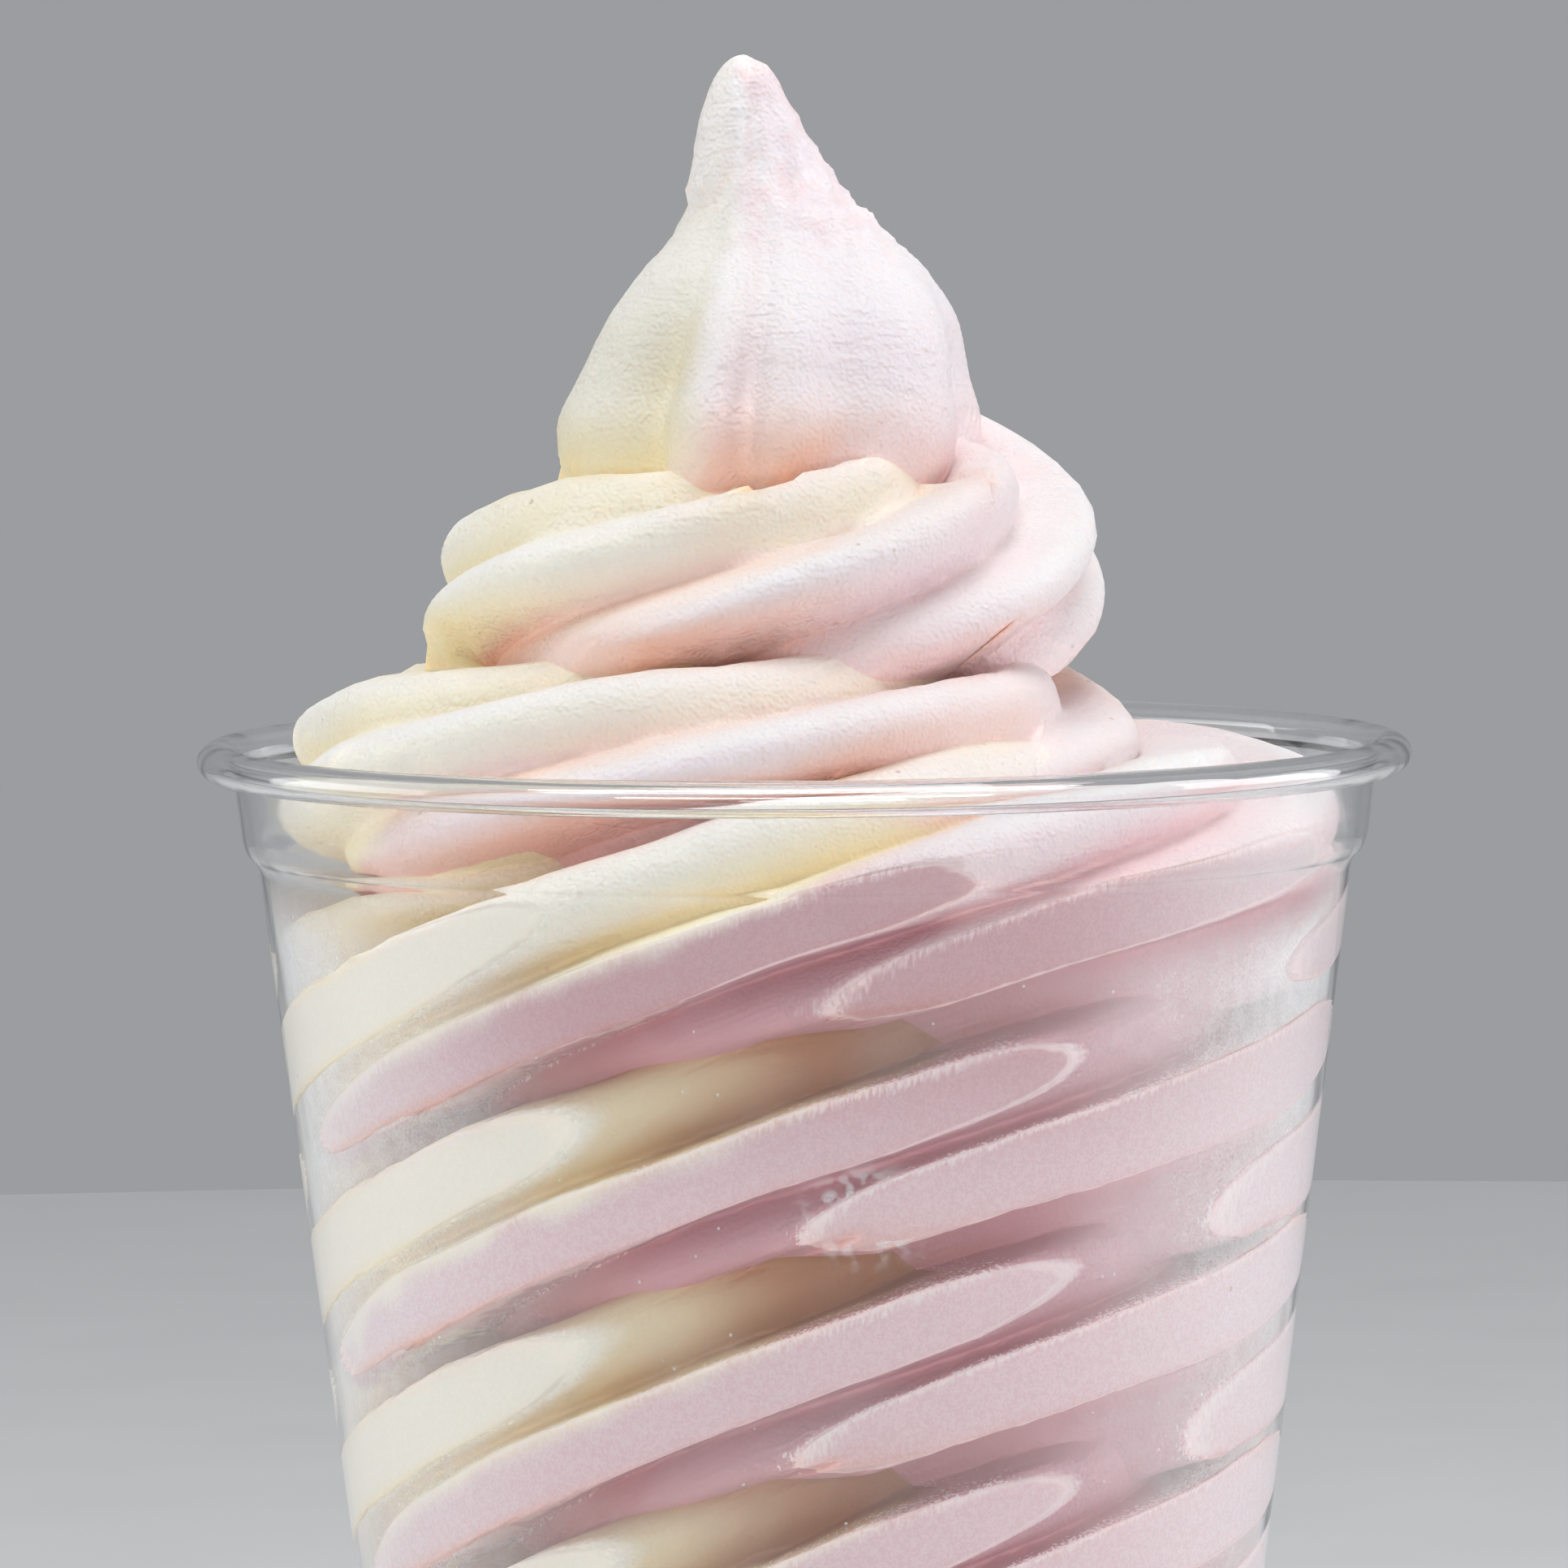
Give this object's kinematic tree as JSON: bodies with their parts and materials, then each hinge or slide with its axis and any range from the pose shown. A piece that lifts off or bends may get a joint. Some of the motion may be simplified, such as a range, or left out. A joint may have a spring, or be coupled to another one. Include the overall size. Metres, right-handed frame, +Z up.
{
  "type": "soft serve cup",
  "caption": "Clear tapered plastic cup with a rolled rim, filled with a two-flavour twist of soft serve that coils above the rim and ends in a drawn peak",
  "frame": {"origin": "centre of the cup's standing ring, on the surface it stands on", "axes": "+Z up along the cup's axis, -Y towards the viewer of the picture, +X to the viewer's right"},
  "size_m": [0.098, 0.098, 0.175],
  "materials": {
    "clear_plastic": "clear gloss, lightly fogged inside",
    "soft_serve": "soft matte, finely frosted"
  },
  "bodies": {
    "root": {"cup": "clear_plastic", "soft_serve": "soft_serve"}
  },
  "joints": []
}
